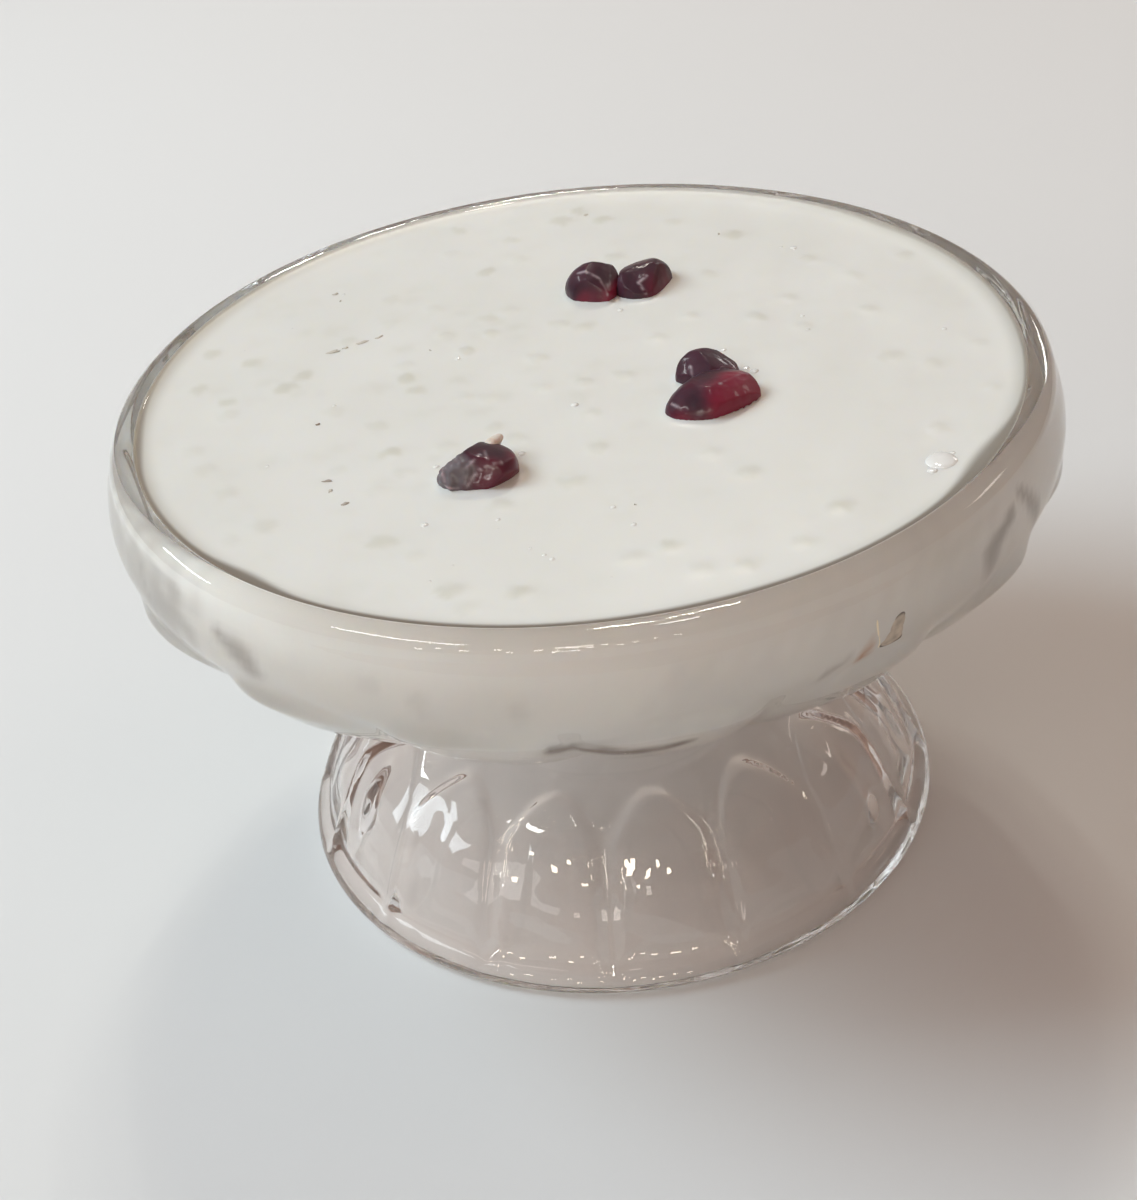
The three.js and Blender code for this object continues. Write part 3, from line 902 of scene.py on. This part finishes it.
# A pocket of air between pudding and glass, its outline painted dark as shade, with a sliver beside it painted bright
# as a glint
pocket = {
    "azimuth": 32.7, "height": 53.9, "size": (4.6, 3.1, 0.34), "lean": 42, "point": 0.3,
    "sliverAzimuth": 30.4, "sliverHeight": 54.3, "sliverSize": (3.4, 0.5, 0.3), "sliverLean": 96,
    "paintedRimShade": (0.74, 0.93),
}


def onWall(points, azimuth, height, lean):
    # Lays a shape, drawn along X and Y, against the side of the pudding
    wall = np.array(bowl["innerWall"])[::-1]
    radius = np.interp(height, wall[:, 1], wall[:, 0]) + pudding["intoWall"]
    cos, sin = math.cos(math.radians(lean)), math.sin(math.radians(lean))
    across = points[:, 0] * cos - points[:, 1] * sin
    up = points[:, 0] * sin + points[:, 1] * cos
    angle = math.radians(azimuth) + across / radius
    out = np.interp(height + up, wall[:, 1], wall[:, 0]) + pudding["intoWall"] + points[:, 2]
    return np.stack([out * np.sin(angle), -out * np.cos(angle), height + up], 1)


def makePocket():
    ball, faces = unitBall(56, 48)
    leaf = ball * (np.array(pocket["size"]) / 2)
    leaf[:, 1] *= 1 - pocket["point"] * ball[:, 0]
    leaf[:, :2] *= (1 + 0.05 * waveSum(ball, 19, 1.6, 6))[:, None]
    sliver = ball * (np.array(pocket["sliverSize"]) / 2)
    sliver[:, 1] += 0.10 * np.sin(ball[:, 0] * 3)
    shapes = (
        (onWall(leaf, pocket["azimuth"], pocket["height"], pocket["lean"]), faces),
        (onWall(sliver, pocket["sliverAzimuth"], pocket["sliverHeight"], pocket["sliverLean"]), faces),
    )
    piece = makePiece("airPocket", *joinShapes(shapes))
    plan = np.hypot(ball[:, 0], ball[:, 1])
    paintedRimShade = smoothStep(plan, *pocket["paintedRimShade"]) + 0.25 * np.maximum(waveSum(ball, 23, 0.7, 7), 0)
    addMask(piece, "paintedRimShade", np.concatenate([np.clip(paintedRimShade, 0, 1), np.zeros(len(ball))]))
    addMask(piece, "paintedGlint", np.concatenate([np.zeros(len(ball)), np.ones(len(ball))]))
    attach(piece, "root")
    return piece


def pocketFinish():
    material, tree, principled = newMaterial("pocketOfAir")
    tone = addGroup(tree, toneGroup, Tone=(0.66, 0.58, 0.47, 1), Other_Tone=(0.45, 0.38, 0.30, 1), Scale=900.0)
    # Painted shade round the pocket's outline and a painted glint on the sliver
    color = addLayer(tree, tone.outputs["Color"], "paintedRimShade", (0.06, 0.045, 0.03, 1), 0.95)
    color = addLayer(tree, color, "paintedGlint", (0.98, 0.90, 0.70, 1), 1.0)
    tree.links.new(color, principled.inputs["Base Color"])
    principled.inputs["Roughness"].default_value = 0.25
    ripple = addGroup(tree, rippleGroup, Scale=600.0, Fine_Scale=2500.0, Fine_Share=0.3)
    addBump(tree, principled, ripple.outputs["Height"], 0.3, 0.1)
    return material


makePocket().data.materials.append(pocketFinish())
print("small things made")


# Floor and light
stageLook = {
    "floorTone": (0.715, 0.722, 0.718, 1), "floorOther": (0.705, 0.712, 0.708, 1),
    "roomTone": (0.44, 0.30, 0.24, 1), "roomOther": (0.20, 0.135, 0.11, 1), "roomFront": 1.5, "roomBack": 0.6,
    "under": 0.1,
}
lamps = {
    "window": {"at": (-0.83, 0.14, 0.88), "size": (0.62, 0.72), "power": 11.8, "tone": (0.83, 1.0, 1.09)},
    "farWindow": {"at": (-1.03, -0.96, 0.75), "size": (0.9, 0.25), "power": 2.2, "tone": (0.95, 1.0, 1.0)},
    "frontLamp": {"at": (-0.16, -1.33, 0.68), "size": (0.2, 0.2), "power": 0.9, "tone": (1.0, 0.96, 0.9)},
    "rightLamp": {"at": (1.15, 0.42, 0.86), "size": (0.35, 0.12), "power": 0.7, "tone": (1.0, 0.94, 0.86)},
}
# Lamps that only show as highlights: along the lip at the left, in front, overhead and at the right
glints = {
    "leftStrip": {"at": (-0.87, 0.45, 0.69), "size": (0.42, 0.05), "power": 1.7, "tone": (0.97, 1.0, 1.0)},
    "nearStrip": {"at": (-0.69, -0.45, 1.0), "size": (0.6, 0.07), "power": 3.4, "tone": (1.0, 1.0, 0.97)},
    "lowStrip": {"at": (-0.21, -1.47, 0.2), "size": (0.17, 0.04), "power": 1.1, "tone": (1.0, 0.98, 0.94)},
    "overhead": {"at": (0.165, 0.056, 1.29), "size": (0.13, 0.1), "power": 0.7, "tone": (1.0, 0.99, 0.95)},
    "rightStrip": {"at": (0.67, 1.0, 0.48), "size": (0.24, 0.1), "power": 0.9, "tone": (1.0, 0.98, 0.95)},
    "rightLine": {"at": (1.15, 0.42, 0.86), "size": (0.35, 0.07), "power": 0.9, "tone": (1.0, 0.96, 0.9)},
}
# Bulbs in loose bunches, behind and low in front: direction as azimuth and elevation from the bowl
bulbs = {
    "back": {
        "from": ((174, 55), (180, 55), (168, 54), (177, 59), (172, 50)), "away": 1.05,
        "size": (0.03, 0.03), "power": 0.42, "tone": (1.0, 0.95, 0.84),
    },
    "front": {
        "from": (
            (-40, 14), (-37, 24), (-30, 18), (-24, 26), (-20, 12), (-14, 20), (-10, 16), (-8, 27), (-6, 21),
            (-3, 17), (0, 24), (3, 14), (6, 20), (10, 22), (14, 18),
        ),
        "away": 1.6, "size": (0.04, 0.08), "power": 0.3, "tone": (1.0, 0.90, 0.74),
    },
}


def makeFloor():
    size, low = 1500, -stageLook["under"]  # a hair's breadth under the glass
    corners = [(-size, -size, low), (size, -size, low), (size, size, low), (-size, size, low)]
    floor = makePiece("floor", corners, [(0, 1, 2, 3)])
    material, tree, principled = newMaterial("paleFloor")
    tone = addGroup(tree, toneGroup, Tone=stageLook["floorTone"], Other_Tone=stageLook["floorOther"], Scale=3.0)
    tree.links.new(tone.outputs["Color"], principled.inputs["Base Color"])
    principled.inputs["Roughness"].default_value = 0.7
    principled.inputs["Specular IOR Level"].default_value = 0.25
    floor.data.materials.append(material)


def makeLamps():
    spread = {**lamps, **glints}
    for side, bunch in bulbs.items():
        for number, (azimuth, lift) in enumerate(bunch["from"]):
            angle, lift = math.radians(azimuth), math.radians(lift)
            away, level = bunch["away"] * math.cos(lift), bunch["away"] * math.sin(lift)
            place = (away * math.sin(angle), -away * math.cos(angle), level)
            spread[f"{side}Bulb{number}"] = {**bunch, "at": place}
    for name, lamp in spread.items():
        data = bpy.data.lights.new(name, "AREA")
        data.shape = "RECTANGLE"
        data.size, data.size_y = lamp["size"]
        data.energy = lamp["power"]
        data.color = lamp["tone"]
        light = bpy.data.objects.new(name, data)
        light.location = lamp["at"]
        light.rotation_euler = (-Vector(lamp["at"])).to_track_quat("-Z", "Y").to_euler()
        onlyShine = name in glints or name.startswith("frontBulb")
        light.visible_diffuse = light.visible_transmission = not onlyShine
        light.visible_glossy = name not in ("window", "farWindow")
        scene.collection.objects.link(light)
    world = bpy.data.worlds.new("room")
    world.use_nodes = True
    tree = world.node_tree
    place = tree.nodes.new("ShaderNodeTexCoord")
    noise = addNode(tree, "ShaderNodeTexNoise", Scale=2.2, Detail=1.5)
    spread = addNode(tree, "ShaderNodeMapRange", From_Min=0.4, From_Max=0.6)
    mix = addNode(tree, "ShaderNodeMix", {"data_type": "RGBA"})
    mix.inputs[6].default_value = stageLook["roomTone"]
    mix.inputs[7].default_value = stageLook["roomOther"]
    parts = tree.nodes.new("ShaderNodeSeparateXYZ")
    depth = addNode(tree, "ShaderNodeMapRange", From_Min=-1.0, From_Max=1.0)
    depth.inputs["To Min"].default_value = stageLook["roomFront"]
    depth.inputs["To Max"].default_value = stageLook["roomBack"]
    tree.links.new(place.outputs["Generated"], noise.inputs["Vector"])
    tree.links.new(place.outputs["Generated"], parts.inputs[0])
    tree.links.new(noise.outputs["Fac"], spread.inputs["Value"])
    tree.links.new(spread.outputs["Result"], mix.inputs[0])
    tree.links.new(parts.outputs["Y"], depth.inputs["Value"])
    tree.links.new(mix.outputs[2], tree.nodes["Background"].inputs["Color"])
    tree.links.new(depth.outputs["Result"], tree.nodes["Background"].inputs["Strength"])
    scene.world = world


makeFloor()
makeLamps()
scene.view_settings.view_transform = "Standard"
scene.cycles.max_bounces = 20
scene.cycles.glossy_bounces = 12
scene.cycles.transmission_bounces = 16
print("stage made")
